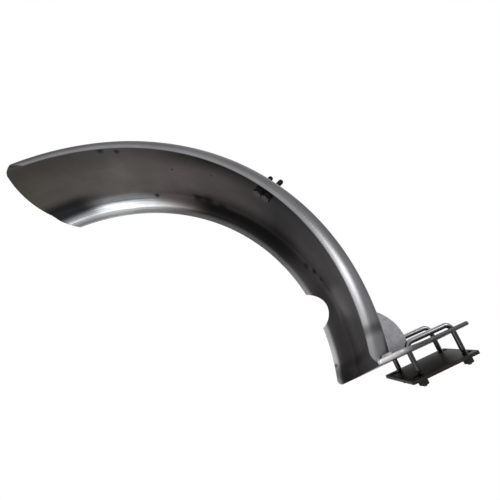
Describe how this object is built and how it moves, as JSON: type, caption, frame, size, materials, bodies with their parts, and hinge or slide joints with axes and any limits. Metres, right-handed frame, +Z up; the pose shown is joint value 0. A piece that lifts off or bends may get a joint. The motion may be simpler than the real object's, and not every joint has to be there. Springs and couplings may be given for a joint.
{
  "type": "motorcycle rear fender",
  "caption": "Arched steel rear fender with rounded shoulders, a bowed rear tip, a welded mounting plate with a gusset rib, and a U-bolt clamp for a swing-arm cross-member.",
  "frame": {"origin": "centre of the clamp seat, on the underside of the mounting plate between the four U-bolt legs", "axes": "+X forward to the clamp end, +Y across the wheel away from the side in the picture, +Z up"},
  "size_m": [0.6276, 0.176, 0.3382],
  "materials": {
    "bare_sheet": "raw rolled sheet",
    "plate_steel": "satin",
    "weld_metal": "as welded",
    "zinc_rod": "zinc plated",
    "black_plate": "black oxide",
    "black_fastener": "black oxide"
  },
  "bodies": {
    "root": {"fender_shell": "bare_sheet", "mounting_plate": "plate_steel", "gusset_rib": "plate_steel", "weld_beads": "weld_metal", "near_u_bolt": "zinc_rod", "far_u_bolt": "zinc_rod", "clamp_plate": "black_plate", "clamp_washers": "black_fastener", "clamp_nuts": "black_fastener", "crown_studs": "black_fastener", "crown_washers": "black_fastener", "crown_nuts": "black_fastener"}
  },
  "joints": []
}
